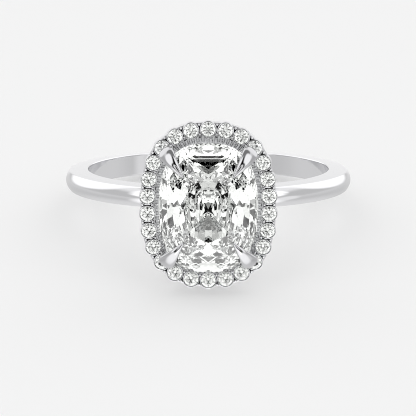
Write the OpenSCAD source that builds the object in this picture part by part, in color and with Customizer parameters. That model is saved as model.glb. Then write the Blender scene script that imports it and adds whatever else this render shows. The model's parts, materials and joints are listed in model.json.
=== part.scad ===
// Halo ring in white gold: a cushion-cut centre stone in four claws, inside a halo of small round
// brilliants, on a plain polished band. The ring lies on its side, as it rests by itself: on the halo's
// lower edge in front and on the band behind. Sizes in millimetres.

/* [Finger hole and band] */
// Diameter of the finger hole, a US size 7
finger_d = 17.3; // [14:0.1:21]
// Width of the band along the finger, at its inside
band_w = 1.6; // [1.4:0.02:2.2]
// Width of the band where its flat sides meet the dome
band_edge_w = 1.38; // [1.1:0.02:2]
// Thickness of the band at the middle of its dome
band_t = 1.6; // [1.4:0.02:2]
// Rise of the low dome above the band's flat sides
band_dome = 0.3; // [0.12:0.02:0.4]
// Radius that softens the band's inner edges
band_round = 0.1; // [0.05:0.01:0.3]

/* [Centre stone] */
// Width of the cushion-cut stone, across the finger
stone_w = 6.86; // [6:0.02:8.4]
// Length of the cushion-cut stone, along the finger
stone_l = 8.98; // [7.6:0.02:10.4]
// Squareness of the cushion outline, where 2 is an ellipse
cushion_power = 2.6; // [2.2:0.05:3]
// Height of the crown above the girdle
stone_crown = 1.21; // [0.9:0.01:1.3]
// Thickness of the girdle
stone_girdle = 0.2; // [0.1:0.02:0.3]
// Depth of the pavilion below the girdle
stone_pavilion = 2.97; // [2.8:0.01:3.1]
// Table as a share of the stone's outline
stone_table = 0.5; // [0.46:0.01:0.56]
// Length of the ridge that the pavilion ends in, along the finger
stone_keel = 0.66; // [0.2:0.02:1]
// Height of that ridge above the top of the band
culet_lift = 0.33; // [0.1:0.01:1.2]

/* [Halo stones] */
// Height of their crown above the girdle
halo_crown = 0.15; // [0.1:0.005:0.2]
// Thickness of their girdle
halo_girdle = 0.03; // [0.02:0.005:0.06]
// Depth of their pavilion
halo_pavilion = 0.44; // [0.35:0.01:0.5]
// Table as a share of their outline
halo_table = 0.56; // [0.5:0.01:0.62]
// Length of their lower girdle facets as a share of the pavilion's depth
halo_lower = 0.75; // [0.2:0.05:0.85]

/* [Halo frame] */
// Distance from the centre stone's girdle out to the row of halo stones
halo_gap = 0.79; // [0.7:0.01:1]
// Drop from the centre stone's girdle to the halo stones' girdles
halo_drop = 1.2; // [1.1:0.05:1.6]
// Height of the halo frame
frame_tall = 0.8; // [0.6:0.05:1]
// Reach of the frame outside the row of stones
frame_out = 0.4; // [0.3:0.01:0.5]
// Reach of the frame inside the row of stones
frame_in = 1.04; // [0.9:0.01:1.2]
// Width of the flat that the beads stand on, inside the row of stones
frame_flat = 0.5; // [0.4:0.01:0.6]
// Drop of the polished bevel that faces the centre stone
bevel_drop = 0.35; // [0.2:0.05:0.5]
// Half the width of the channel under the row, which leaves a dark pit between each pair of cups
pit_half = 0.27; // [0.2:0.01:0.3]
// Depth of that channel
pit_depth = 0.45; // [0.2:0.05:0.6]
// Wall of the cup around each halo stone
cup_wall = 0.055; // [0.04:0.005:0.12]
// Height of each cup
cup_tall = 0.7; // [0.5:0.05:0.75]
// Rise of a cup's rim above the stone's girdle
cup_rim = 0.06; // [0.03:0.01:0.1]
// Gap between one cup and the next along the row
cup_gap = 0.03; // [0.02:0.005:0.1]
// Radius of the beads between the stones
bead_r = 0.09; // [0.07:0.01:0.1]
// Distance of the beads from the middle of the row
bead_offset = 0.33; // [0.3:0.01:0.36]
// Radius of the hole drilled under each halo stone
azure_r = 0.2; // [0.12:0.01:0.24]

/* [Claws and basket] */
// Width of a claw at its elbow
claw_w = 1.2; // [0.8:0.02:1.4]
// Depth of a claw at its elbow
claw_d = 0.78; // [0.6:0.02:0.9]
// Size of the lower rail as a share of the stone's outline
rail_share = 0.58; // [0.5:0.01:0.64]
// Thickness of the lower rail's wire
rail_d = 0.54; // [0.4:0.02:0.7]
// Depth that the lower rail sinks into the top of the band
rail_sink = 0.3; // [0.26:0.02:0.4]

/* [Clearances] */
// Gap between a stone and the metal that holds it
seat_gap = 0.02; // [0.01:0.005:0.04]

/* [Hidden] */
finger_r = finger_d / 2;
band_r = finger_r + band_t;
// Radius of the edge where the band's flat side meets its dome.
edge_r = band_r - band_dome;
dome_r = (pow(band_edge_w / 2, 2) + pow(band_dome, 2)) / (2 * band_dome);

// Heights above the axis of the finger hole, towards the head.
culet_h = band_r + culet_lift;
girdle_low = culet_h + stone_pavilion;
girdle_high = girdle_low + stone_girdle;
halo_h = girdle_low + stone_girdle / 2 - halo_drop;
rim_h = halo_h + cup_rim;
frame_top = halo_h - 0.9 * bead_r;
frame_low = frame_top - frame_tall;
cup_low = rim_h - cup_tall;
rail_h = band_r + rail_d / 2 - rail_sink;

// Facet corners of the centre stone: shares of its outline, and of the height of its crown or pavilion.
star_share = 0.83;
star_rise = 0.616;
upper_share = 0.674;
upper_depth = 0.401;
lower_share = 0.469;
lower_depth = 0.636;

// The row of halo stones has 26 cups at an even pitch, and each stone is as large as its cup lets it be.
halo_count = 26;
path_steps = 360;
path_points = [for (i = [0:path_steps]) offset_point(i * 360 / path_steps, halo_gap)];
path_lengths = [for (i = 0, s = 0; i <= path_steps;
                     s = s + norm(path_points[min(i + 1, path_steps)] - path_points[i]), i = i + 1)
                [s, i * 360 / path_steps]];
path_length = path_lengths[path_steps][0];
cup_r = (path_length / halo_count - cup_gap) / 2;
halo_stone_r = cup_r - cup_wall - seat_gap;

// The ring lies on the lower edge of the front cup and on the band's edge behind.
cup_reach = stone_l / 2 + halo_gap + cup_r;
rest_tilt = atan((cup_reach - band_edge_w / 2) / (cup_low + edge_r));

// Claw sections from the lower rail to the tip: shares of the corner's reach, of the height from the
// rail to the top of the girdle, of the claw's width and of its depth.
claw_rows = [
    [rail_share, 0.00, 0.53, 0.70],
    [0.71, 0.19, 0.57, 0.74],
    [0.85, 0.38, 0.66, 0.82],
    [0.97, 0.58, 0.81, 0.92],
    [1.06, 0.77, 0.93, 1.00],
    [1.10, 0.92, 1.00, 0.96],
    [1.08, 1.045, 0.97, 0.84],
    [1.00, 1.15, 0.81, 0.66],
    [0.90, 1.225, 0.60, 0.50],
    [0.80, 1.265, 0.39, 0.34],
    [0.71, 1.285, 0.21, 0.21],
    [0.66, 1.30, 0.05, 0.08]];
claw_sides = 12;
frame_stations = 2 * halo_count;
rail_stations = 40;
rail_sides = 8;

function stone_name(i) = str("halo_stone_", i < 9 ? "0" : "", i + 1);

function signed_power(v, p) = sign(v) * pow(abs(v), p);

// A point of the cushion |x/a|^power + |y/b|^power = 1.
function outline(t, a, b) =
    [a * signed_power(cos(t), 2 / cushion_power), b * signed_power(sin(t), 2 / cushion_power)];

function outline_normal(t, a, b) =
    let (p = outline(t, a, b),
         g = [signed_power(p[0] / a, cushion_power - 1) / a, signed_power(p[1] / b, cushion_power - 1) / b])
    g / norm(g);

// A point at a distance outside the centre stone's girdle.
function offset_point(t, distance) =
    outline(t, stone_w / 2, stone_l / 2)
    + distance * outline_normal(t, stone_w / 2, stone_l / 2);

// Corner of the tangent lines at two neighbouring main facets, where star and girdle facets meet the mains.
function tangent_corner(i, a, b) =
    let (n = outline_normal(45 * i, a, b), m = outline_normal(45 * (i + 1), a, b),
         c = n * outline(45 * i, a, b), d = m * outline(45 * (i + 1), a, b),
         det = n[0] * m[1] - n[1] * m[0])
    [c * m[1] - d * n[1], d * n[0] - c * m[0]] / det;

// The outline's parameter at a share of the way round the row of stones, from its far end.
function row_angle(share) = lookup((share + 0.25) % 1 * path_length, path_lengths);

// Faces of a tube through rings of points, with its ends capped unless it is closed on itself.
function tube_faces(rings, sides, closed) = concat(
    [for (i = [0:rings - (closed ? 1 : 2)], j = [0:sides - 1], half = [0, 1])
        let (k = (i + 1) % rings, m = (j + 1) % sides)
        half == 0 ? [i * sides + j, k * sides + m, k * sides + j]
                  : [i * sides + j, i * sides + m, k * sides + m]],
    closed ? [] : [[for (j = [sides - 1:-1:0]) j],
                   [for (j = [0:sides - 1]) (rings - 1) * sides + j]]);

// Places a child, made with the head upwards, in the ring's own resting pose.
module rest() {
    rotate([90 - rest_tilt, 0, 0]) children();
}

// A round brilliant with its girdle on the ground plane: eight main facets on the crown and on the pavilion,
// eight stars, and sixteen girdle facets above and below.
module brilliant() {
    star = 0.46;
    meet_r = halo_stone_r / cos(22.5);
    high = halo_girdle / 2;
    function ring(count, start, r, z) =
        [for (i = [0:count - 1]) let (t = start + 360 * i / count) [r * cos(t), r * sin(t), z]];
    points = concat(
        ring(16, 0, halo_stone_r, high),
        ring(16, 0, halo_stone_r, -high),
        ring(8, 0, halo_table * halo_stone_r, high + halo_crown),
        ring(8, 22.5, (1 - (1 - halo_table) * star) * meet_r, high + halo_crown * star),
        ring(8, 22.5, (1 - halo_lower) * meet_r, -high - halo_pavilion * halo_lower),
        [[0, 0, -high - halo_pavilion]]);
    low = 16;
    tables = 32;
    stars = 40;
    lowers = 48;
    culet = 56;
    faces = concat(
        [[for (i = [7:-1:0]) tables + i]],
        [for (i = [0:7]) [tables + i, tables + (i + 1) % 8, stars + i]],
        [for (i = [0:7]) [tables + i, stars + i, 2 * i, stars + (i + 7) % 8]],
        [for (i = [0:7], k = [0, 1]) [stars + i, (2 * i + k + 1) % 16, 2 * i + k]],
        [for (k = [0:15]) [k, (k + 1) % 16, low + (k + 1) % 16, low + k]],
        [for (i = [0:7], k = [0, 1]) [lowers + i, low + 2 * i + k, low + (2 * i + k + 1) % 16]],
        [for (i = [0:7]) [culet, lowers + (i + 7) % 8, low + 2 * i, lowers + i]]);
    polyhedron(points, faces);
}

// A cushion-cut stone with its girdle's middle on the ground plane, held between its rows of facet corners:
// table, stars, girdle, two rows on the pavilion and a short ridge at the bottom.
module cushion_stone(grow_by) {
    a = stone_w / 2 + grow_by;
    b = stone_l / 2 + grow_by;
    high = stone_girdle / 2 + grow_by;
    mains = [for (i = [0:7]) outline(45 * i, a, b)];
    meets = [for (i = [0:7]) tangent_corner(i, a, b)];
    rim = [for (k = [0:31]) outline(11.25 * k, a, b)];
    function row(corners, share, z) = [for (p = corners) [share * p[0], share * p[1], z]];
    points = concat(
        row(mains, stone_table, high + stone_crown),
        row(meets, star_share, high + star_rise * stone_crown),
        row(rim, 1, high),
        row(rim, 1, -high),
        row(meets, upper_share, -high - upper_depth * stone_pavilion),
        row(mains, lower_share, -high - lower_depth * stone_pavilion),
        [for (side = [-1, 1]) [0, side * stone_keel / 2, -high - stone_pavilion]]);
    hull() polyhedron(points, [[for (i = [0:len(points) - 1]) i]]);
}

// Profile of the band, with its flat inside towards the axis, sides that lean in a little and a low dome.
module band_profile() {
    side_start = finger_r + band_round;
    lean = (band_w - band_edge_w) / 2 / (edge_r - side_start);
    near = band_w / 2 + lean * 2 * band_round;
    far = band_w / 2 - lean * (band_r - side_start);
    intersection() {
        union() {
            translate([finger_r + band_round, -band_w / 2]) square([band_t, band_w]);
            translate([finger_r, band_round - band_w / 2]) square([band_t, band_w - 2 * band_round]);
            for (side = [-1, 1])
                translate([finger_r + band_round, side * (band_w / 2 - band_round)])
                    circle(r = band_round, $fn = 48);
        }
        translate([band_r - dome_r, 0]) circle(r = dome_r, $fn = 180);
        polygon([[side_start - 2 * band_round, -near], [band_r, -far],
                 [band_r, far], [side_start - 2 * band_round, near]]);
    }
}

// The plain band round the finger hole.
module band() {
    rotate([90, 0, 0]) rotate_extrude($fn = 180) band_profile();
}

// The lower rail of the basket, a wire that follows the stone's outline.
module lower_rail() {
    points = [for (i = [0:rail_stations - 1], j = [0:rail_sides - 1])
        let (t = i * 360 / rail_stations, turn = (j + 0.5) * 360 / rail_sides,
             p = rail_share * outline(t, stone_w / 2, stone_l / 2),
             n = outline_normal(t, stone_w / 2, stone_l / 2))
        [p[0] + n[0] * rail_d / 2 * cos(turn), p[1] + n[1] * rail_d / 2 * cos(turn),
         rail_h + rail_d / 2 * sin(turn)]];
    polyhedron(points, tube_faces(rail_stations, rail_sides, true));
}

// One claw, from the lower rail past the girdle's corner and over the crown to a sharp tip.
module claw_horn() {
    corner = outline(45, stone_w / 2, stone_l / 2);
    reach = norm(corner);
    tall = girdle_high - rail_h;
    out = corner / reach;
    last = len(claw_rows) - 1;
    function centre(i) = [claw_rows[i][0] * reach, rail_h + claw_rows[i][1] * tall];
    function along(i) =
        let (d = centre(min(i + 1, last)) - centre(max(i - 1, 0))) d / norm(d);
    points = [for (i = [0:last], j = [0:claw_sides - 1])
        let (turn = j * 360 / claw_sides, c = centre(i), d = along(i),
             deep = claw_rows[i][3] * claw_d / 2 * sin(turn),
             wide = claw_rows[i][2] * claw_w / 2 * cos(turn),
             s = c[0] + d[1] * deep)
        [s * out[0] - wide * out[1], s * out[1] + wide * out[0], c[1] - d[0] * deep]];
    polyhedron(points, tube_faces(last + 1, claw_sides, false));
}

// The centre stone's envelope with its seat clearance all round, which notches the claws.
module stone_room() {
    translate([0, 0, girdle_low + stone_girdle / 2]) cushion_stone(seat_gap);
}

module claws() {
    for (x = [0, 1], y = [0, 1])
        difference() {
            mirror([x, 0, 0]) mirror([0, y, 0]) claw_horn();
            stone_room();
        }
}

// The halo's frame: a flat with a channel for the stones and a bevel down towards the centre stone.
module frame_rail() {
    pit_low = frame_top - pit_depth;
    section = [[-frame_in, frame_low], [frame_out, frame_low], [frame_out, frame_top], [pit_half, frame_top],
               [pit_half, pit_low], [-pit_half, pit_low], [-pit_half, frame_top], [-frame_flat, frame_top],
               [-frame_in, frame_top - bevel_drop]];
    sides = len(section);
    points = [for (i = [0:frame_stations - 1], corner = section)
        let (p = offset_point(row_angle(i / frame_stations), halo_gap + corner[0])) [p[0], p[1], corner[1]]];
    polyhedron(points, tube_faces(frame_stations, sides, true));
}

module at_row(share, distance) {
    p = offset_point(row_angle(share), halo_gap + distance);
    translate([p[0], p[1], 0]) children();
}

// A seat for one halo stone: a straight wall at the girdle, a cone below it and the drilled hole.
module halo_seat() {
    seat_r = halo_stone_r + seat_gap;
    wall_low = halo_h - 0.3 * halo_pavilion;
    cone_low = halo_h - halo_pavilion - 2 * seat_gap;
    room_high = halo_h + halo_girdle / 2 + halo_crown + 2 * seat_gap;
    translate([0, 0, wall_low]) cylinder(r = seat_r, h = room_high - wall_low, $fn = 48);
    translate([0, 0, cone_low]) cylinder(r1 = azure_r / 2, r2 = seat_r, h = wall_low - cone_low, $fn = 48);
    translate([0, 0, frame_low - azure_r]) cylinder(r = azure_r, h = wall_low - frame_low, $fn = 32);
}

// A bead between two stones: a ball on a short foot that stands in the frame's flat.
module bead() {
    foot_low = frame_top - bead_r / 2;
    translate([0, 0, halo_h]) sphere(r = bead_r, $fn = 24);
    translate([0, 0, foot_low]) cylinder(r = 0.9 * bead_r, h = halo_h - foot_low, $fn = 24);
}

// All the metal, soldered into one solid.
module setting() {
    color("#d9dadd") rest() {
        band();
        lower_rail();
        difference() {
            union() {
                frame_rail();
                claws();
                for (i = [0:halo_count - 1]) {
                    at_row(i / halo_count, 0)
                        translate([0, 0, cup_low]) cylinder(r = cup_r, h = cup_tall, $fn = 64);
                    for (side = [-1, 1]) at_row((i + 0.5) / halo_count, side * bead_offset) bead();
                }
            }
            for (i = [0:halo_count - 1]) at_row(i / halo_count, 0) halo_seat();
        }
    }
}

module centre_stone() {
    color("#f4f7fa") rest() translate([0, 0, girdle_low + stone_girdle / 2]) cushion_stone(0);
}

// Halo stones are numbered from the far end of the row, each with a main facet facing outwards.
module halo_stone(i) {
    t = row_angle(i / halo_count);
    n = outline_normal(t, stone_w / 2, stone_l / 2);
    color("#eef2f6") rest() at_row(i / halo_count, 0)
        translate([0, 0, halo_h]) rotate([0, 0, atan2(n[1], n[0])]) brilliant();
}

setting();
centre_stone();
for (i = [0:halo_count - 1])
    halo_stone(i);
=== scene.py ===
"""Looks of the halo ring: rhodium-plated white gold and diamonds, on a pale board in soft light.

Sizes in the classes are millimetres in the jeweller's frame: X across the head, Y along the finger and Z from
the axis of the finger hole towards the head. A finished piece is placed as the ring lies, in metres.
"""

import json
import logging
import math
from dataclasses import dataclass
from enum import Enum
from typing import Any

import bmesh
import bpy
import numpy as np
from mathutils import Matrix, Vector


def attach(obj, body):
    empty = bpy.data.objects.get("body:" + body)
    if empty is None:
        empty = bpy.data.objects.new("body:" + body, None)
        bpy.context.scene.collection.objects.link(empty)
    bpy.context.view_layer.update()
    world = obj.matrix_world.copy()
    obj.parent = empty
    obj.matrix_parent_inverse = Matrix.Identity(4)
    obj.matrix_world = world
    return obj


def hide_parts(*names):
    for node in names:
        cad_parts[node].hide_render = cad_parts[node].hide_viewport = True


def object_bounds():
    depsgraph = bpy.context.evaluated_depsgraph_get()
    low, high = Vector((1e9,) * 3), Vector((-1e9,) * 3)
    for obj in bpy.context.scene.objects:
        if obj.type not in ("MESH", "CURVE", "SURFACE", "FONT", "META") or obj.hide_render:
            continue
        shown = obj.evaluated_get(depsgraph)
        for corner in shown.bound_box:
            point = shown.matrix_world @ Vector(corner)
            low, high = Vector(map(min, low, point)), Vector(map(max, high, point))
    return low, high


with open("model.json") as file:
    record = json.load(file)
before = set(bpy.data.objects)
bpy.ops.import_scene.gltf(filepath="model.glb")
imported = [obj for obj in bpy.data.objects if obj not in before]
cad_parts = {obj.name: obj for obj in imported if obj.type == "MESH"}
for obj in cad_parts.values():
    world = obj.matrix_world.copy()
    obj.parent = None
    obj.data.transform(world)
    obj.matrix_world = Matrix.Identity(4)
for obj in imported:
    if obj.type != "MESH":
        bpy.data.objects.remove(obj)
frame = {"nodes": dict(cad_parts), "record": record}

CAD_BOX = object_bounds()
LOG = logging.getLogger("halo_ring")
MM = 0.001
FULL_TURN = 2 * math.pi
# Radius of the tiny flat that a turned shell has at its axis.
AXIS_FLAT = 0.004
# Faces that meet at a wider angle than this show an edge in the polish.
SHARP_EDGE = math.radians(32)


class Join(Enum):
    """How one solid is combined with another."""

    WITH = "UNION"
    WITHOUT = "DIFFERENCE"


def linear(colour: str) -> tuple[float, float, float, float]:
    """Turns an sRGB hex colour to linear.

    Args:
        colour: Six hex digits after a hash sign.

    Returns:
        Red, green, blue and alpha for a shader socket.
    """
    parts = [int(colour[i:i + 2], 16) / 255 for i in (1, 3, 5)]
    red, green, blue = [c / 12.92 if c <= 0.04045 else ((c + 0.055) / 1.055) ** 2.4 for c in parts]
    return red, green, blue, 1.0


def add_node(tree: bpy.types.NodeTree, kind: str, settings: dict[str, Any] | None = None,
             inputs: dict[str | int, Any] | None = None) -> bpy.types.Node:
    """Adds a node with its settings and links.

    Args:
        tree: The shader or geometry node tree.
        kind: Blender's name of the node's type.
        settings: Values of the node's own properties.
        inputs: A value or output socket for each input, by name or number.

    Returns:
        The new node.
    """
    node = tree.nodes.new(kind)
    for name, value in (settings or {}).items():
        setattr(node, name, value)
    for name, value in (inputs or {}).items():
        if isinstance(value, bpy.types.NodeSocket):
            tree.links.new(value, node.inputs[name])
        else:
            node.inputs[name].default_value = value
    return node


def maths(tree: bpy.types.NodeTree, operation: str, first: Any, second: Any,
          clamped: bool = False) -> bpy.types.NodeSocket:
    """Adds a node that calculates with two values.

    Args:
        tree: The shader or geometry node tree.
        operation: Blender's name of the operation.
        first: The first number or output socket.
        second: The second number or output socket.
        clamped: True to keep the result between 0 and 1.

    Returns:
        The socket with the result.
    """
    return add_node(tree, "ShaderNodeMath", {"operation": operation, "use_clamp": clamped},
                    {0: first, 1: second}).outputs[0]


def new_material(name: str) -> tuple[bpy.types.Material, bpy.types.NodeTree]:
    """Starts a material with an empty node tree.

    Args:
        name: Name of the material.

    Returns:
        The material and its tree.
    """
    material = bpy.data.materials.new(name)
    material.use_nodes = True
    material.node_tree.nodes.clear()
    return material, material.node_tree


def new_object(name: str, data: bpy.types.ID) -> bpy.types.Object:
    """Adds an object to the scene.

    Args:
        name: Name of the object.
        data: Its mesh, light or camera.

    Returns:
        The object, at the origin.
    """
    one = bpy.data.objects.new(name, data)
    bpy.context.scene.collection.objects.link(one)
    return one


def baked(one: bpy.types.Object) -> bpy.types.Mesh:
    """Works out an object's modifiers.

    Args:
        one: The object, which stays as it is.

    Returns:
        A plain mesh of the result.
    """
    graph = bpy.context.evaluated_depsgraph_get()
    return bpy.data.meshes.new_from_object(one.evaluated_get(graph), depsgraph=graph)


def refinished(node: str, finish: bpy.types.Material) -> bpy.types.Object:
    """Gives a CAD solid a finish.

    Args:
        node: Name of the solid's node.
        finish: Its only material from now on.

    Returns:
        The solid.
    """
    solid = frame["nodes"][node]
    solid.data.materials.clear()
    solid.data.materials.append(finish)
    return solid


def new_tree(name: str, sizes: dict[str, float]) -> tuple[bpy.types.NodeTree, bpy.types.Node]:
    """Starts a geometry node tree with named inputs.

    Args:
        name: Name of the tree.
        sizes: Each size input with its usual value.

    Returns:
        The tree and its group input node, which also has Geometry, Row and Material outputs.
    """
    tree = bpy.data.node_groups.new(name, "GeometryNodeTree")
    tree.interface.new_socket("Geometry", in_out="OUTPUT", socket_type="NodeSocketGeometry")
    tree.interface.new_socket("Geometry", in_out="INPUT", socket_type="NodeSocketGeometry")
    tree.interface.new_socket("Row", in_out="INPUT", socket_type="NodeSocketObject")
    tree.interface.new_socket("Material", in_out="INPUT", socket_type="NodeSocketMaterial")
    for size, value in sizes.items():
        socket = tree.interface.new_socket(size, in_out="INPUT", socket_type="NodeSocketFloat")
        socket.default_value = value
    return tree, add_node(tree, "NodeGroupInput")


def end_tree(tree: bpy.types.NodeTree, shape: bpy.types.NodeSocket, material: bpy.types.NodeSocket) -> None:
    """Ends a geometry node tree in Realize Instances and Set Material.

    Args:
        tree: The tree.
        shape: The geometry made so far.
        material: The group input's material.
    """
    real = add_node(tree, "GeometryNodeRealizeInstances", inputs={"Geometry": shape})
    dressed = add_node(tree, "GeometryNodeSetMaterial", inputs={
        "Geometry": real.outputs[0], "Material": material})
    add_node(tree, "NodeGroupOutput", inputs={"Geometry": dressed.outputs[0]})


def grow(start: bpy.types.Mesh, tree: bpy.types.NodeTree, values: dict[str, Any]) -> bpy.types.Mesh:
    """Runs a geometry node tree on a mesh and keeps the result as a plain mesh.

    Args:
        start: The mesh that the tree starts from.
        tree: The tree.
        values: The tree's inputs by name.

    Returns:
        The mesh that the tree makes.
    """
    carrier = new_object(tree.name, start)
    modifier = carrier.modifiers.new(tree.name, "NODES")
    modifier.node_group = tree
    for item in tree.interface.items_tree:
        if item.in_out == "INPUT" and item.name in values:
            modifier[item.identifier] = values[item.name]
    made = baked(carrier)
    bpy.data.objects.remove(carrier)
    return made


def plain_mesh(name: str, points: np.ndarray, faces: list[tuple[int, ...]],
               edges: list[tuple[int, int]] | None = None) -> bpy.types.Mesh:
    """Makes a mesh from points and faces.

    Args:
        name: Name of the mesh.
        points: One row of X, Y and Z for each point.
        faces: Point numbers of each face, anticlockwise from outside.
        edges: Point numbers of loose edges, for a path.

    Returns:
        The mesh.
    """
    mesh = bpy.data.meshes.new(name)
    mesh.from_pydata([tuple(p) for p in points], edges or [], faces)
    mesh.update()
    return mesh


def tube(name: str, rings: np.ndarray, closed: bool) -> bpy.types.Mesh:
    """Skins rings of points into a closed shell with its faces outwards.

    Args:
        name: Name of the mesh.
        rings: Points as stations by sides by three.
        closed: True if the last ring joins the first, and False for a capped tube.

    Returns:
        The mesh.
    """
    count, sides = rings.shape[:2]
    faces: list[tuple[int, ...]] = []
    for i in range(count if closed else count - 1):
        k = (i + 1) % count
        for j in range(sides):
            m = (j + 1) % sides
            faces.append((i * sides + j, i * sides + m, k * sides + m, k * sides + j))
    if not closed:
        faces.append(tuple(range(sides - 1, -1, -1)))
        faces.append(tuple((count - 1) * sides + j for j in range(sides)))
    mesh = plain_mesh(name, rings.reshape(-1, 3), faces)
    work = bmesh.new()
    work.from_mesh(mesh)
    bmesh.ops.recalc_face_normals(work, faces=work.faces)
    if work.calc_volume(signed=True) < 0:
        bmesh.ops.reverse_faces(work, faces=work.faces)
    work.to_mesh(mesh)
    work.free()
    return mesh


def turned(name: str, profile: list[tuple[float, float]], sides: int, closed: bool) -> bpy.types.Mesh:
    """Turns a profile round the Z axis, as on a lathe.

    Args:
        name: Name of the mesh.
        profile: Radius and height of each point.
        sides: Number of stations round the axis.
        closed: True for a ring, and False for a solid whose profile starts and ends at the axis.

    Returns:
        The mesh.
    """
    turns = np.arange(sides) * FULL_TURN / sides
    rings = np.array([[(r * math.cos(t), r * math.sin(t), z) for t in turns] for r, z in profile])
    return tube(name, rings, closed)


def combined(base: bpy.types.Mesh, tool: bpy.types.Mesh, how: Join) -> bpy.types.Mesh:
    """Joins or cuts one closed mesh with another.

    Args:
        base: The mesh that is kept.
        tool: The mesh that is added or taken away.
        how: Which of the two.

    Returns:
        The combined mesh.
    """
    kept, other = new_object("base", base), new_object("tool", tool)
    modifier = kept.modifiers.new("join", "BOOLEAN")
    modifier.operation, modifier.solver, modifier.object = how.value, "MANIFOLD", other
    made = baked(kept)
    bpy.data.objects.remove(kept)
    bpy.data.objects.remove(other)
    return made


def rounded(corners: list[tuple[float, float, float]], steps: int) -> np.ndarray:
    """Rounds the corners of a section.

    Args:
        corners: X, Y and the length cut from each side for each corner, in order round the section.
        steps: Number of points on each rounded corner.

    Returns:
        The section's points, one row of X and Y each.
    """
    flat = np.array([corner[:2] for corner in corners])
    points = []
    for i, (x, y, cut) in enumerate(corners):
        here = np.array([x, y])
        start, end = (here + cut * (other - here) / np.linalg.norm(other - here)
                      for other in (flat[i - 1], flat[(i + 1) % len(flat)]))
        for t in np.linspace(0, 1, steps):
            points.append((1 - t) ** 2 * start + 2 * t * (1 - t) * here + t * t * end)
    return np.array(points)


@dataclass(frozen=True)
class WhiteGold:
    """Rhodium-plated white gold, cast and polished on a felt wheel: bright and nearly a mirror."""

    name: str = "white_gold_polished"
    colour: str = "#E6E6E8"
    roughness: tuple[float, float] = (0.045, 0.11)
    ripple_mm: float = 0.9
    hairline_mm: float = 0.06
    # Crevices about this wide get painted shade, a darker colour where little is open round them, and stay
    # dull where the wheel can't reach. Zero for none.
    shade_and_dull_crevice_mm: float = 0.0
    # Colour of the painted shade in the crevices.
    painted_shade_colour: str = "#2C2C2C"
    cast_roughness: float = 0.35
    # How open the metal is where the painted shade ends, and where it stops being dull.
    painted_shade_until: tuple[float, float] = (0.38, 0.6)
    dull_until: tuple[float, float] = (0.6, 0.95)

    def material(self) -> bpy.types.Material:
        """Makes the material.

        Returns:
            A metal whose polish varies a little, with a faint ripple, and with painted shade and a duller
            polish in its crevices if the crevice width isn't zero.
        """
        material, tree = new_material(self.name)
        place = add_node(tree, "ShaderNodeTexCoord").outputs["Object"]
        # The wheel leaves patches of slightly duller polish, about a millimetre across.
        patches = add_node(tree, "ShaderNodeTexNoise", inputs={
            "Vector": place, "Scale": 1 / (self.ripple_mm * MM), "Detail": 2.0})
        polish = add_node(tree, "ShaderNodeMapRange", inputs={
            "Value": patches.outputs["Fac"], "From Min": 0.3, "From Max": 0.7,
            "To Min": self.roughness[0], "To Max": self.roughness[1]})
        # Polishing hairlines are far finer in life. These are a pixel wide, so that they soften highlights.
        hairs = add_node(tree, "ShaderNodeTexNoise", inputs={
            "Vector": place, "Scale": 1 / (self.hairline_mm * MM), "Detail": 3.0})
        ripple = add_node(tree, "ShaderNodeBump", inputs={
            "Strength": 0.12, "Distance": 0.02 * MM, "Height": patches.outputs["Fac"]})
        surface = add_node(tree, "ShaderNodeBump", inputs={
            "Strength": 0.03, "Distance": 0.004 * MM, "Height": hairs.outputs["Fac"],
            "Normal": ripple.outputs[0]})
        metal = add_node(tree, "ShaderNodeBsdfPrincipled", inputs={
            "Base Color": linear(self.colour), "Metallic": 1.0, "Roughness": polish.outputs[0],
            "Normal": surface.outputs[0]})
        if self.shade_and_dull_crevice_mm:
            # Painted shade: pits between cups, ribs and the feet of beads are darkened where little is open
            # round them, which draws their outlines.
            sky = add_node(tree, "ShaderNodeAmbientOcclusion", {"samples": 6, "only_local": True}, {
                "Distance": self.shade_and_dull_crevice_mm * MM})
            unshaded_share = add_node(tree, "ShaderNodeMapRange", inputs={
                "Value": sky.outputs["AO"], "From Min": self.painted_shade_until[0], "From Max": self.painted_shade_until[1]})
            shade = add_node(tree, "ShaderNodeMix", {"data_type": "RGBA"}, {
                "Factor": unshaded_share.outputs[0], 6: linear(self.painted_shade_colour), 7: linear(self.colour)})
            tree.links.new(shade.outputs[2], metal.inputs["Base Color"])
            # Short of the crevices the wheel works less, so the cast skin still scatters the light.
            skin = add_node(tree, "ShaderNodeMapRange", inputs={
                "Value": sky.outputs["AO"], "From Min": self.dull_until[0], "From Max": self.dull_until[1],
                "To Min": self.cast_roughness, "To Max": 0.0})
            dull = maths(tree, "ADD", polish.outputs[0], skin.outputs[0])
            tree.links.new(dull, metal.inputs["Roughness"])
        add_node(tree, "ShaderNodeOutputMaterial", inputs={"Surface": metal.outputs[0]})
        return material


@dataclass(frozen=True)
class Diamond:
    """Colourless diamond: clear, and bends light so much that its facets flash white or black."""

    name: str = "diamond"
    colour: str = "#FDFFFC"
    ior: float = 2.417

    def material(self) -> bpy.types.Material:
        """Makes the material.

        Returns:
            A clear stone.
        """
        material, tree = new_material(self.name)
        stone = add_node(tree, "ShaderNodeBsdfPrincipled", inputs={
            "Base Color": linear(self.colour), "Metallic": 0.0, "Roughness": 0.0, "IOR": self.ior,
            "Transmission Weight": 1.0})
        add_node(tree, "ShaderNodeOutputMaterial", inputs={"Surface": stone.outputs[0]})
        return material


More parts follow.
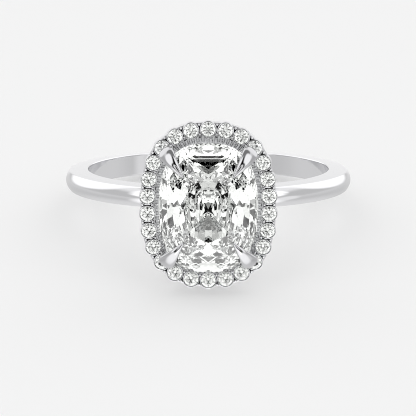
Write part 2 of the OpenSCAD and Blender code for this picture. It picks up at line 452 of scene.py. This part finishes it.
@dataclass(frozen=True)
class PaleBoard:
    """Matt white acrylic board under the ring: even and pale, with a very faint tooth."""

    name: str = "pale_board"
    colour: str = "#BBBBBB"
    tooth_mm: float = 0.25
    # The board is lit a little from below, so that the ring's shadow stays faint.
    glow: float = 0.372

    def material(self) -> bpy.types.Material:
        """Makes the material.

        Returns:
            A matt material with a fine bump.
        """
        material, tree = new_material(self.name)
        place = add_node(tree, "ShaderNodeTexCoord").outputs["Object"]
        tooth = add_node(tree, "ShaderNodeTexNoise", inputs={
            "Vector": place, "Scale": 1 / (self.tooth_mm * MM)})
        surface = add_node(tree, "ShaderNodeBump", inputs={
            "Strength": 0.02, "Distance": 0.01 * MM, "Height": tooth.outputs["Fac"]})
        board = add_node(tree, "ShaderNodeBsdfPrincipled", inputs={
            "Base Color": linear(self.colour), "Roughness": 0.9, "Specular IOR Level": 0.0,
            "Normal": surface.outputs[0], "Emission Color": (1, 1, 1, 1), "Emission Strength": self.glow})
        add_node(tree, "ShaderNodeOutputMaterial", inputs={"Surface": board.outputs[0]})
        return material


@dataclass(frozen=True)
class RestingPose:
    """How the ring lies on its side. The finger hole's axis in the record gives the tilt."""

    tilt: float

    def matrix(self) -> Matrix:
        """Returns the matrix from the jeweller's frame in millimetres to the part's frame in metres."""
        return Matrix.Rotation(math.radians(90) - self.tilt, 4, "X") @ Matrix.Scale(MM, 4)

    def piece(self, mesh: bpy.types.Mesh, name: str, material: bpy.types.Material) -> bpy.types.Object:
        """Places a finished mesh as a piece of the ring.

        Args:
            mesh: The mesh in the jeweller's frame.
            name: Name of the piece.
            material: Its finish.

        Returns:
            The piece, at the origin, with its place in its mesh.
        """
        mesh.transform(self.matrix())
        mesh.materials.clear()
        mesh.materials.append(material)
        mesh.polygons.foreach_set("material_index", [0] * len(mesh.polygons))
        mesh.polygons.foreach_set("use_smooth", [True] * len(mesh.polygons))
        mesh.set_sharp_from_angle(angle=SHARP_EDGE)
        mesh.update()
        mesh.name = name
        one = new_object(name, mesh)
        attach(one, "root")
        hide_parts("setting")
        return one


@dataclass(frozen=True)
class CushionOutline:
    """Outline of the centre stone's girdle, |x/a|^power + |y/b|^power = 1."""

    width: float = 6.86
    length: float = 8.98
    power: float = 2.6

    def point(self, turn: np.ndarray | float) -> np.ndarray:
        """Gives points of the outline.

        Args:
            turn: The outline's parameter in radians.

        Returns:
            X and Y of each point.
        """
        c, s = np.cos(turn), np.sin(turn)
        return np.stack([self.width / 2 * np.sign(c) * np.abs(c) ** (2 / self.power),
                         self.length / 2 * np.sign(s) * np.abs(s) ** (2 / self.power)], -1)

    def normal(self, turn: np.ndarray | float) -> np.ndarray:
        """Gives outward directions of the outline.

        Args:
            turn: The outline's parameter in radians.

        Returns:
            A unit vector for each parameter.
        """
        half = np.array([self.width / 2, self.length / 2])
        share = self.point(turn) / half
        slope = np.sign(share) * np.abs(share) ** (self.power - 1) / half
        return slope / np.linalg.norm(slope, axis=-1, keepdims=True)


@dataclass(frozen=True)
class HaloRow:
    """The row of halo stones, an even way outside the girdle."""

    outline: CushionOutline
    gap: float = 0.79
    count: int = 26
    height: float = 12.45

    def turn(self, share: np.ndarray) -> np.ndarray:
        """Gives the outline's parameter at even steps of the row's length.

        Args:
            share: Share of the way round, from the far end.

        Returns:
            The parameter in radians.
        """
        steps = np.radians(np.arange(361.0))
        path = self.outline.point(steps) + self.gap * self.outline.normal(steps)
        along = np.concatenate([[0.0], np.cumsum(np.linalg.norm(np.diff(path, axis=0), axis=1))])
        return np.interp((share + 0.25) % 1 * along[-1], along, steps)

    def point(self, share: np.ndarray, distance: np.ndarray | float = 0.0) -> np.ndarray:
        """Gives points at a distance outside the row.

        Args:
            share: Share of the way round, from the far end.
            distance: Distance outside the row.

        Returns:
            X and Y of each point.
        """
        turn = self.turn(share)
        away = np.asarray(self.gap + distance, float)
        return self.outline.point(turn) + away[..., None] * self.outline.normal(turn)

    def stations(self, name: str, shares: np.ndarray, distance: float) -> bpy.types.Object:
        """Makes loose points that the repeating tree reads.

        Args:
            name: Name of the helper object.
            shares: Share of the way round of each point.
            distance: Distance outside the row.

        Returns:
            A helper object, removed after its use, whose points carry the way that they face.
        """
        flat = self.point(shares, distance)
        mesh = plain_mesh(name, np.column_stack([flat, np.zeros(len(shares))]), [])
        normal = self.outline.normal(self.turn(shares))
        facing = mesh.attributes.new("facing", "FLOAT", "POINT")
        facing.data.foreach_set("value", np.arctan2(normal[:, 1], normal[:, 0]).astype(np.float32))
        return new_object(name, mesh)


class RowTree:
    """Repeats a mesh along the row of stones, each copy turned to face outwards."""

    def __init__(self) -> None:
        """Builds the tree."""
        tree, given = new_tree("repeat_along_row", {"Size": 1.0})
        row = add_node(tree, "GeometryNodeObjectInfo", inputs={"Object": given.outputs["Row"]})
        facing = add_node(tree, "GeometryNodeInputNamedAttribute", {"data_type": "FLOAT"}, {
            "Name": "facing"})
        turn = add_node(tree, "ShaderNodeCombineXYZ", inputs={"Z": facing.outputs["Attribute"]})
        copies = add_node(tree, "GeometryNodeInstanceOnPoints", inputs={
            "Points": row.outputs["Geometry"], "Instance": given.outputs["Geometry"],
            "Rotation": turn.outputs[0], "Scale": given.outputs["Size"]})
        end_tree(tree, copies.outputs[0], given.outputs["Material"])
        self.tree = tree

    def repeat(self, mesh: bpy.types.Mesh, row: bpy.types.Object,
               material: bpy.types.Material) -> bpy.types.Mesh:
        """Repeats a mesh.

        Args:
            mesh: The mesh, with its outward side towards X.
            row: The helper object with the stations, which is removed.
            material: The finish.

        Returns:
            One mesh with all the copies.
        """
        made = grow(mesh, self.tree, {"Row": row, "Material": material, "Size": 1.0})
        bpy.data.objects.remove(row)
        return made


@dataclass
class Band:
    """The plain band: flat inside with softened edges, sides that lean in and a low dome outside."""

    hole: float = 8.65
    thickness: float = 1.6
    width: float = 1.6
    edge_width: float = 1.38
    dome: float = 0.3
    softening: float = 0.1
    broken_edge: float = 0.1
    # Points on each rounded edge, on the whole profile and round the finger.
    edge_points: int = 8
    profile_points: int = 176
    stations: int = 360

    def tree(self) -> bpy.types.NodeTree:
        """Builds the tree that sweeps the band's profile round the finger hole.

        Returns:
            The tree, with the band's sizes as inputs.
        """
        tree, given = new_tree("band_sweep", {
            "Hole Radius": self.hole, "Thickness": self.thickness, "Width": self.width,
            "Edge Width": self.edge_width, "Dome": self.dome, "Softening": self.softening,
            "Broken Edge": self.broken_edge})
        size = given.outputs
        bar = add_node(tree, "GeometryNodeCurvePrimitiveQuadrilateral", inputs={
            "Width": size["Thickness"], "Height": size["Width"]})
        place = add_node(tree, "GeometryNodeInputPosition")
        parts = add_node(tree, "ShaderNodeSeparateXYZ", inputs={0: place.outputs[0]})
        outwards, sidewards = parts.outputs["X"], parts.outputs["Y"]
        # The inner edges are rounded for comfort, and the outer edges are only broken by polishing.
        corner = add_node(tree, "ShaderNodeMix", {"data_type": "FLOAT"}, {
            "Factor": maths(tree, "GREATER_THAN", outwards, 0.0), "A": size["Softening"],
            "B": size["Broken Edge"]})
        soft = add_node(tree, "GeometryNodeFilletCurve", {"mode": "POLY"}, {
            "Curve": bar.outputs[0], "Count": self.edge_points, "Radius": corner.outputs["Result"]})
        even = add_node(tree, "GeometryNodeResampleCurve", inputs={
            "Curve": soft.outputs[0], "Count": self.profile_points})
        half_deep = maths(tree, "DIVIDE", size["Thickness"], 2.0)
        half_wide = maths(tree, "DIVIDE", size["Width"], 2.0)
        # The dome falls as the square of the distance from the band's middle, and more towards the outside.
        across = maths(tree, "DIVIDE", sidewards, half_wide)
        fall = maths(tree, "MULTIPLY", maths(tree, "POWER", across, 2.0), size["Dome"])
        drop = maths(tree, "MULTIPLY", fall, maths(tree, "DIVIDE", outwards, half_deep, True))
        # The sides lean in from the band's width to the width of its edge.
        taper = maths(tree, "DIVIDE", maths(tree, "SUBTRACT", size["Edge Width"], size["Width"]), 2.0)
        through = maths(tree, "ADD", maths(tree, "DIVIDE", outwards, size["Thickness"]), 0.5)
        lean = maths(tree, "MULTIPLY", maths(tree, "MULTIPLY", taper, through), across)
        move = add_node(tree, "ShaderNodeCombineXYZ", inputs={
            "X": maths(tree, "MULTIPLY", drop, -1.0), "Y": lean})
        profile = add_node(tree, "GeometryNodeSetPosition", inputs={
            "Geometry": even.outputs[0], "Offset": move.outputs[0]})
        circle = add_node(tree, "GeometryNodeCurvePrimitiveCircle", inputs={
            "Resolution": self.stations, "Radius": maths(tree, "ADD", size["Hole Radius"], half_deep)})
        swept = add_node(tree, "GeometryNodeCurveToMesh", inputs={
            "Curve": circle.outputs["Curve"], "Profile Curve": profile.outputs[0]})
        # The circle lies flat, and the finger hole's axis is Y.
        upright = add_node(tree, "GeometryNodeTransform", inputs={
            "Geometry": swept.outputs[0], "Rotation": (FULL_TURN / 4, 0.0, 0.0)})
        end_tree(tree, upright.outputs[0], given.outputs["Material"])
        return tree

    def build(self, pose: RestingPose, gold: bpy.types.Material) -> bpy.types.Object:
        """Builds and dresses the band.

        Args:
            pose: How the ring lies.
            gold: The finish.

        Returns:
            The band.
        """
        swept = grow(bpy.data.meshes.new("band_start"), self.tree(), {"Material": gold})
        return pose.piece(swept, "band", gold)


@dataclass
class LowerRail:
    """The wire that follows the stone's outline on top of the band and carries the claws."""

    outline: CushionOutline
    # Share of the stone's outline that the wire follows.
    share: float = 0.58
    wire: float = 0.54
    height: float = 10.22
    sides: int = 24
    stations: int = 120

    def tree(self) -> bpy.types.NodeTree:
        """Builds the tree that draws a round wire along a path.

        Returns:
            The tree, with the wire's thickness as an input.
        """
        tree, given = new_tree("wire_along_path", {"Wire Thickness": self.wire})
        path = add_node(tree, "GeometryNodeMeshToCurve", inputs={0: given.outputs["Geometry"]})
        section = add_node(tree, "GeometryNodeCurvePrimitiveCircle", inputs={
            "Resolution": self.sides, "Radius": maths(tree, "DIVIDE", given.outputs["Wire Thickness"], 2.0)})
        wire = add_node(tree, "GeometryNodeCurveToMesh", inputs={
            "Curve": path.outputs[0], "Profile Curve": section.outputs["Curve"]})
        end_tree(tree, wire.outputs[0], given.outputs["Material"])
        return tree

    def build(self, pose: RestingPose, gold: bpy.types.Material) -> bpy.types.Object:
        """Builds and dresses the rail.

        Args:
            pose: How the ring lies.
            gold: The finish.

        Returns:
            The rail.
        """
        count = self.stations
        flat = self.share * self.outline.point(np.arange(count) * FULL_TURN / count)
        points = np.column_stack([flat, np.full(count, self.height)])
        path = plain_mesh("rail_path", points, [], [(i, (i + 1) % count) for i in range(count)])
        return pose.piece(grow(path, self.tree(), {"Material": gold}), "lower_rail", gold)


@dataclass
class HaloFrame:
    """The halo's metal: a frame with a ribbed bevel, a cup round each stone and beads between them.

    Distances from the row of stones are towards the outside, so those towards the centre stone are negative.
    """

    row: HaloRow
    repeat: RowTree
    low: float = 11.58
    top: float = 12.369
    outer: float = 0.47
    inner: float = -1.04
    flat: float = -0.5
    bevel: float = 0.35
    # How much polishing softens the frame's edges: most of them, the low outer one, the outer shoulder, those
    # of the pit and the foot of the bevel.
    soft: float = 0.04
    soft_low: float = 0.05
    soft_shoulder: float = 0.08
    soft_pit: float = 0.02
    soft_foot: float = 0.03
    soft_points: int = 4
    stations_per_stone: int = 12
    cup_outer: float = 0.584
    cup_low: float = 11.81
    cup_soft: float = 0.018
    rim: float = 12.51
    seat: float = 0.529
    # The seat's straight wall reaches this share of the pavilion below the girdle.
    seat_wall: float = 0.3
    azure: float = 0.2
    pavilion: float = 0.44
    # How far a cutter reaches past the metal below and above it.
    past_low: float = 0.1
    past_high: float = 0.3
    turned_sides: int = 56
    pit_half: float = 0.27
    pit_depth: float = 0.45
    bead: float = 0.09
    bead_foot: float = 0.081
    bead_tip: float = 0.003
    # The ball's first point in radians above its middle, and its number of points.
    bead_start: float = -0.45
    bead_points: int = 8
    bead_offset: float = 0.33
    small_sides: int = 16
    rib: float = 0.105
    rib_rise: float = 0.13
    rib_length: float = 0.62
    rib_inset: float = 0.02
    # The first point of a rib's round end in degrees from its tip, and its number of points.
    rib_start: float = 8.0
    rib_points: int = 6
    ribs_per_stone: int = 3

    def frame_shell(self) -> bpy.types.Mesh:
        """Makes the frame, a section with softened corners that follows the row.

        Returns:
            The closed shell.
        """
        stations = self.stations_per_stone * self.row.count
        shares = np.arange(stations) / stations
        floor = self.top - self.pit_depth
        section = rounded([
            (self.inner, self.low, self.soft), (self.outer, self.low, self.soft_low),
            (self.outer, self.top, self.soft_shoulder), (self.pit_half, self.top, self.soft_pit),
            (self.pit_half, floor, self.soft), (-self.pit_half, floor, self.soft),
            (-self.pit_half, self.top, self.soft_pit), (self.flat, self.top, self.soft),
            (self.inner, self.top - self.bevel, self.soft_foot)], self.soft_points)
        rings = np.array([np.column_stack([self.row.point(shares, distance), np.full(stations, height)])
                          for distance, height in section])
        return tube("frame", rings.transpose(1, 0, 2), True)

    def rib_shape(self) -> bpy.types.Mesh:
        """Makes one rib of the bevel, half round, with a round end near the centre stone.

        Returns:
            The closed shell, laid along the bevel with its outward side towards X.
        """
        start = np.array([self.inner + self.rib_inset, self.top - self.bevel])
        slope = np.array([self.flat - self.inner, self.bevel])
        slope /= np.linalg.norm(slope)
        up = np.array([-slope[1], slope[0]])
        turns = np.arange(self.small_sides) * FULL_TURN / self.small_sides
        ways = np.radians(np.linspace(self.rib_start, 90, self.rib_points))
        rings = []
        for along in np.append(self.rib * (1 - np.cos(ways)), self.rib_length):
            share = math.sqrt(1 - max(1 - along / self.rib, 0.0) ** 2)
            rise = (self.rib_rise * share * np.sin(turns))[:, None]
            middle = start[None] + along * slope[None] + rise * up[None]
            rings.append(np.column_stack([middle[:, 0], self.rib * share * np.cos(turns), middle[:, 1]]))
        return tube("rib", np.array(rings), False)

    def cup(self) -> bpy.types.Mesh:
        """Makes the round of one cup, with a softened rim.

        Returns:
            The closed shell, at the row's own height.
        """
        # The rim's outer edge is rounded in two steps.
        outer, soft = self.cup_outer, self.cup_soft
        profile = [(AXIS_FLAT, self.cup_low), (outer - soft, self.cup_low), (outer, self.cup_low + soft),
                   (outer, self.rim - soft), (outer - 0.3 * soft, self.rim - 0.3 * soft),
                   (outer - soft, self.rim), (AXIS_FLAT, self.rim)]
        return turned("cup", profile, self.turned_sides, False)

    def seat_cutter(self) -> bpy.types.Mesh:
        """Makes the cutter of one seat: a wall at the girdle, a cone below it and the drilled hole.

        Returns:
            The closed shell.
        """
        girdle = self.row.height
        low, high = self.low - self.past_low, girdle + self.past_high
        profile = [(AXIS_FLAT, low), (self.azure, low), (self.azure, girdle - self.pavilion + self.past_low),
                   (self.seat, girdle - self.seat_wall * self.pavilion), (self.seat, high), (AXIS_FLAT, high)]
        return turned("seat", profile, self.turned_sides, False)

    def bead_shape(self) -> bpy.types.Mesh:
        """Makes one bead: a ball on a short foot.

        Returns:
            The closed shell.
        """
        low = self.top - self.bead / 2
        profile = [(AXIS_FLAT, low), (self.bead_foot, low)]
        for way in np.linspace(self.bead_start, FULL_TURN / 4, self.bead_points):
            radius = max(self.bead * math.cos(way), self.bead_tip)
            profile.append((radius, self.row.height + self.bead * math.sin(way)))
        return turned("bead", profile, self.small_sides, False)

    def build(self, pose: RestingPose, gold: bpy.types.Material) -> bpy.types.Object:
        """Builds and dresses the halo's metal.

        Args:
            pose: How the ring lies.
            gold: The finish.

        Returns:
            The halo frame.
        """
        count = self.row.count
        stones = np.arange(count) / count
        between = (np.arange(count) + 0.5) / count
        ribs = self.ribs_per_stone * count
        slots = (np.arange(ribs) + 0.5) / ribs
        metal = self.frame_shell()
        for shape, shares, distance, how in (
                (self.rib_shape, slots, 0.0, Join.WITH), (self.cup, stones, 0.0, Join.WITH),
                (self.bead_shape, between, -self.bead_offset, Join.WITH),
                (self.bead_shape, between, self.bead_offset, Join.WITH),
                (self.seat_cutter, stones, 0.0, Join.WITHOUT)):
            mesh = shape()
            copies = self.repeat.repeat(mesh, self.row.stations(mesh.name, shares, distance), gold)
            metal = combined(metal, copies, how)
        return pose.piece(metal, "halo_frame", gold)


@dataclass
class Claws:
    """Four claws: horns that rise at the corners, pass the girdle and end in sharp tips on the crown."""

    outline: CushionOutline
    low: float = 10.22
    high: float = 13.75
    width: float = 1.2
    depth: float = 0.78
    seat_gap: float = 0.02
    sides: int = 28
    # Stations from one row of the table below to the next.
    fineness: int = 5
    # Shares of the corner's reach, of the height from the rail to the girdle, of the width and of the depth.
    rows: tuple[tuple[float, float, float, float], ...] = (
        (0.58, 0.0, 0.53, 0.70), (0.71, 0.19, 0.57, 0.74), (0.85, 0.38, 0.66, 0.82),
        (0.97, 0.58, 0.81, 0.92), (1.06, 0.77, 0.93, 1.00), (1.10, 0.92, 1.00, 0.96),
        (1.08, 1.045, 0.97, 0.84), (1.00, 1.15, 0.81, 0.66), (0.90, 1.225, 0.60, 0.50),
        (0.80, 1.265, 0.39, 0.34), (0.71, 1.285, 0.21, 0.21), (0.66, 1.30, 0.05, 0.08))

    def horn(self) -> np.ndarray:
        """Works out one claw.

        Returns:
            Points as stations by sides by three, for the corner where X and Y are positive.
        """
        rows = np.array(self.rows)
        last = len(rows) - 1
        fine = []
        # A smooth curve through the rows.
        for i in range(last):
            p0, p1, p2, p3 = rows[max(i - 1, 0)], rows[i], rows[i + 1], rows[min(i + 2, last)]
            for t in np.arange(self.fineness) / self.fineness:
                fine.append(0.5 * (2 * p1 + (p2 - p0) * t + (2 * p0 - 5 * p1 + 4 * p2 - p3) * t * t
                                   + (3 * p1 - p0 - 3 * p2 + p3) * t ** 3))
        fine.append(rows[-1])
        fine = np.array(fine)
        corner = self.outline.point(FULL_TURN / 8)
        reach = float(np.linalg.norm(corner))
        out = corner / reach
        centre = np.column_stack([fine[:, 0] * reach, self.low + fine[:, 1] * (self.high - self.low)])
        along = np.gradient(centre, axis=0)
        along /= np.linalg.norm(along, axis=1, keepdims=True)
        turns = np.arange(self.sides) * FULL_TURN / self.sides
        deep = fine[:, 3:4] * self.depth / 2 * np.sin(turns)
        wide = fine[:, 2:3] * self.width / 2 * np.cos(turns)
        away = centre[:, 0:1] + along[:, 1:2] * deep
        return np.stack([away * out[0] - wide * out[1], away * out[1] + wide * out[0],
                         centre[:, 1:2] - along[:, 0:1] * deep], -1)

    def build(self, pose: RestingPose, gold: bpy.types.Material, room: bpy.types.Mesh) -> bpy.types.Object:
        """Builds and dresses the claws, notched for the stone.

        Args:
            pose: How the ring lies.
            gold: The finish.
            room: The centre stone with its seat clearance.

        Returns:
            The claws.
        """
        horn = self.horn()
        whole = bmesh.new()
        for x in (1, -1):
            for y in (1, -1):
                one = tube("claw", horn * np.array([x, y, 1]), False)
                whole.from_mesh(combined(one, room, Join.WITHOUT))
        mesh = bpy.data.meshes.new("claws")
        whole.to_mesh(mesh)
        whole.free()
        return pose.piece(mesh, "claws", gold)


@dataclass
class CentreStone:
    """The oblong cushion-cut stone, between its culet and its table."""

    outline: CushionOutline
    culet: float = 10.58
    girdle_low: float = 13.55
    girdle_high: float = 13.75
    table_height: float = 14.96
    keel: float = 0.66
    mains: int = 8
    girdle_facets: int = 32
    # Rows of facet corners: share of the outline, and of the height of the crown or pavilion.
    table: float = 0.5
    star: tuple[float, float] = (0.83, 0.616)
    upper: tuple[float, float] = (0.674, 0.401)
    lower: tuple[float, float] = (0.469, 0.636)

    def hull(self, grow_by: float) -> bpy.types.Mesh:
        """Makes the stone's envelope for cutting the claws.

        Args:
            grow_by: Clearance all round.

        Returns:
            A convex shell in the jeweller's frame.
        """
        wider = CushionOutline(self.outline.width + 2 * grow_by, self.outline.length + 2 * grow_by,
                               self.outline.power)
        turns = np.arange(self.mains) * FULL_TURN / self.mains
        rim = wider.point(np.arange(self.girdle_facets) * FULL_TURN / self.girdle_facets)
        mains, normal = wider.point(turns), wider.normal(turns)
        reach = (mains * normal).sum(1)
        # Where the tangents at neighbouring mains meet.
        pairs = [[i, (i + 1) % self.mains] for i in range(self.mains)]
        meets = np.array([np.linalg.solve(normal[pair], reach[pair]) for pair in pairs])
        high, low = self.girdle_high + grow_by, self.girdle_low - grow_by
        crown, pavilion = self.table_height - self.girdle_high, self.girdle_low - self.culet
        levels = [
            (self.table * mains, high + crown), (self.star[0] * meets, high + self.star[1] * crown),
            (rim, high), (rim, low), (self.upper[0] * meets, low - self.upper[1] * pavilion),
            (self.lower[0] * mains, low - self.lower[1] * pavilion),
            (np.array([[0, self.keel / 2], [0, -self.keel / 2]]), low - pavilion)]
        work = bmesh.new()
        for flat, height in levels:
            for x, y in flat:
                work.verts.new((x, y, height))
        hull = bmesh.ops.convex_hull(work, input=work.verts)
        bmesh.ops.delete(work, geom=[e for e in hull["geom_interior"] + hull["geom_unused"]
                                     if isinstance(e, bmesh.types.BMVert)], context="VERTS")
        bmesh.ops.recalc_face_normals(work, faces=work.faces)
        mesh = bpy.data.meshes.new("stone_room")
        work.to_mesh(mesh)
        work.free()
        return mesh

    def dress(self, diamond: bpy.types.Material) -> bpy.types.Object:
        """Gives the CAD stone its finish and returns it."""
        return refinished("centre_stone", diamond)


@dataclass
class HaloStones:
    """The round brilliants of the halo."""

    row: HaloRow

    def dress(self, diamond: bpy.types.Material) -> list[bpy.types.Object]:
        """Gives the CAD stones their finish and returns them."""
        return [refinished(f"halo_stone_{i + 1:02d}", diamond) for i in range(self.row.count)]


@dataclass(frozen=True)
class Card:
    """A soft card in the tent.

    The angles in degrees say where it stands and half its size, as seen from the ring. The value is its
    brightness, and the edge is how softly it ends.
    """

    azimuth: float
    elevation: float
    half_width: float
    half_height: float
    value: float
    edge: float = 0.3

    def axes(self) -> tuple[Vector, Vector, Vector]:
        """Returns the directions towards the card, across it and up it. Azimuth 0 is the camera's side."""
        turn = (Matrix.Rotation(math.radians(self.azimuth), 3, "Z")
                @ Matrix.Rotation(-math.radians(self.elevation), 3, "X"))
        return turn @ Vector((0, -1, 0)), turn @ Vector((1, 0, 0)), turn @ Vector((0, 0, 1))


@dataclass
class Studio:
    """The pale board, the soft light and the camera."""

    distance: float = 300.0
    elevation: float = 22.23
    lens: float = 360.0
    aim_below: float = 2.12
    aim_side: float = -0.02
    # The board's width in metres.
    floor_size: float = 3.0
    # Height above the horizon as a sine, and the tent's brightness there.
    tent: tuple[tuple[float, float], ...] = (
        (-1.0, 0.9), (-0.8, 0.82), (-0.5, 0.66), (-0.2, 0.74), (-0.06, 0.64), (0.06, 0.62), (0.4, 0.62),
        (0.7, 1.0), (1.0, 1.15))
    # Each card covers the ones before it. The first four light the band from behind and a side, the next ones
    # the stones from below, above and both sides, and the last ones stand round the dark camera.
    cards: tuple[Card, ...] = (
        Card(-135, 24, 33, 31, 1.3, 0.4), Card(138, 24, 33, 31, 1.3, 0.4), Card(180, 0, 18, 20, 0.95, 0.5),
        Card(66, 36, 12, 14, 1.3, 0.4), Card(0, -33, 53, 38.5, 1.5, 0.85), Card(0, -15, 10, 12.2, 2.6),
        Card(0, 83.7, 37.5, 35.3, 0.29), Card(0, 54.5, 60, 20, 0.0), Card(51, 40, 21, 34, 1.5, 0.5),
        Card(-51, 40, 21, 34, 1.5, 0.5), Card(66, -16, 10, 15, 0.95, 0.95), Card(0, 17, 37, 29, 0.0, 0.15),
        Card(0, 19, 9.5, 6.4, 1.9), Card(0, 32.2, 4.9, 5.7, 1.2), Card(12, 18, 14, 18.6, 1.15),
        Card(-12, 18, 14, 18.6, 1.15), Card(0, 22, 9.5, 11.5, 0.0))
    # The soft box's place and width in metres, and its power in watts.
    lamp_place: tuple[float, float, float] = (0.0, -0.02, 0.26)
    lamp_size: float = 0.29
    lamp_power: float = 0.148

    def floor(self, board: PaleBoard) -> bpy.types.Object:
        """Lays the board under the ring.

        Args:
            board: Its finish.

        Returns:
            The board, which the polished surfaces don't mirror.
        """
        low = CAD_BOX[0].z
        half = self.floor_size / 2
        points = np.array([(-half, -half, low), (half, -half, low), (half, half, low), (-half, half, low)])
        mesh = plain_mesh("board", points, [(0, 1, 2, 3)])
        mesh.materials.append(board.material())
        one = new_object("board", mesh)
        one.visible_glossy = one.visible_transmission = False
        return one

    def light(self) -> bpy.types.World:
        """Sets the light of a white tent, with the cards that give the polish its contrast.

        Returns:
            The world.
        """
        world = bpy.data.worlds.new("white_tent")
        bpy.context.scene.world = world
        world.use_nodes = True
        tree = world.node_tree
        tree.nodes.clear()
        way = add_node(tree, "ShaderNodeTexCoord").outputs["Generated"]
        parts = add_node(tree, "ShaderNodeSeparateXYZ", inputs={0: way})
        height = add_node(tree, "ShaderNodeMapRange", inputs={
            "Value": parts.outputs["Z"], "From Min": -1.0, "From Max": 1.0})
        walls = add_node(tree, "ShaderNodeValToRGB", inputs={"Fac": height.outputs[0]})
        ramp = walls.color_ramp
        ramp.interpolation = "EASE"
        ramp.elements.remove(ramp.elements[1])
        for i, (sine, value) in enumerate(self.tent):
            stop = ramp.elements[0] if i == 0 else ramp.elements.new((sine + 1) / 2)
            stop.position, stop.color = (sine + 1) / 2, (value, value, value, 1)
        shade = walls.outputs["Color"]
        for card in self.cards:
            towards, across, up = card.axes()
            ahead = add_node(tree, "ShaderNodeVectorMath", {"operation": "DOT_PRODUCT"}, {
                0: way, 1: towards}).outputs["Value"]
            squares = []
            for axis, half in ((across, card.half_width), (up, card.half_height)):
                side = add_node(tree, "ShaderNodeVectorMath", {"operation": "DOT_PRODUCT"}, {
                    0: way, 1: axis / math.tan(math.radians(half))})
                share = maths(tree, "DIVIDE", side.outputs["Value"], ahead)
                squares.append(maths(tree, "POWER", share, 2.0))
            inside = add_node(tree, "ShaderNodeMapRange", {"interpolation_type": "SMOOTHSTEP"}, {
                "Value": maths(tree, "ADD", *squares), "From Min": 1 + card.edge, "From Max": 1 - card.edge})
            front = maths(tree, "GREATER_THAN", ahead, 0.0)
            mixed = add_node(tree, "ShaderNodeMix", {"data_type": "RGBA"}, {
                "Factor": maths(tree, "MULTIPLY", inside.outputs[0], front), 6: shade,
                7: (card.value, card.value, card.value, 1)})
            shade = mixed.outputs[2]
        tent = add_node(tree, "ShaderNodeBackground", inputs={"Color": shade, "Strength": 1.0})
        add_node(tree, "ShaderNodeOutputWorld", inputs={"Surface": tent.outputs[0]})
        return world

    def lamp(self) -> bpy.types.Object:
        """Hangs a soft box over the board, which gives the ring its faint shadow.

        Returns:
            The soft box, which the polished surfaces don't mirror.
        """
        data = bpy.data.lights.new("soft_box", "AREA")
        data.size, data.energy = self.lamp_size, self.lamp_power
        one = new_object("soft_box", data)
        one.location = self.lamp_place
        one.rotation_mode = "QUATERNION"
        one.rotation_quaternion = Vector(self.lamp_place).to_track_quat("Z", "Y")
        one.visible_glossy = one.visible_transmission = False
        return one

    def camera(self) -> bpy.types.Object:
        """Sets the camera at the photograph's viewing angle.

        Returns:
            The camera.
        """
        up_angle = math.radians(self.elevation)
        away = Vector((0.0, -math.cos(up_angle), math.sin(up_angle)))
        up = Vector((0.0, math.sin(up_angle), math.cos(up_angle)))
        aim = (up * -self.aim_below + Vector((self.aim_side, 0, 0))) * MM
        data = bpy.data.cameras.new("camera")
        data.lens, data.sensor_width, data.sensor_fit = self.lens, 36.0, "HORIZONTAL"
        data.clip_start, data.clip_end = 0.01, 10.0
        one = new_object("camera", data)
        one.location = aim + away * self.distance * MM
        one.rotation_mode = "QUATERNION"
        one.rotation_quaternion = (-away).to_track_quat("-Z", "Y")
        bpy.context.scene.camera = one
        return one

    def exposure(self) -> None:
        """Sets plain colours, a crisp picture and enough bounces for light inside the stones."""
        scene = bpy.context.scene
        scene.view_settings.view_transform = "Standard"
        scene.cycles.max_bounces = 32
        scene.cycles.transmission_bounces = 28
        scene.cycles.glossy_bounces = 12
        scene.cycles.diffuse_bounces = 4
        scene.cycles.filter_width = 1.0


def main() -> None:
    """Builds the ring piece by piece, then the studio."""
    logging.basicConfig(level=logging.INFO, format="%(message)s")
    pose = RestingPose(math.asin(frame["record"]["mounts"][0]["axis"][1]))
    gold = WhiteGold().material()
    # The halo frame's gold has painted shade in its crevices.
    set_gold = WhiteGold("white_gold_set", shade_and_dull_crevice_mm=0.18).material()
    # The claws are a darker copy of the same metal, a painted shade, with a rougher polish and painted shade
    # in their crevices.
    claw_gold = WhiteGold("white_gold_burnished", "#CACACC", (0.07, 0.14), shade_and_dull_crevice_mm=0.18).material()
    outline = CushionOutline()
    row = HaloRow(outline)
    stone = CentreStone(outline)
    claws = Claws(outline)
    pieces = [
        Band().build(pose, gold),
        LowerRail(outline).build(pose, gold),
        HaloFrame(row, RowTree()).build(pose, set_gold),
        claws.build(pose, claw_gold, stone.hull(claws.seat_gap)),
        stone.dress(Diamond("centre_diamond").material())]
    for piece in pieces:
        LOG.info("%s: %d faces", piece.name, len(piece.data.polygons))
    LOG.info("halo stones: %d", len(HaloStones(row).dress(Diamond("halo_diamond").material())))
    studio = Studio()
    studio.floor(PaleBoard())
    studio.light()
    studio.lamp()
    studio.camera()
    studio.exposure()


if __name__ == "__main__":
    main()
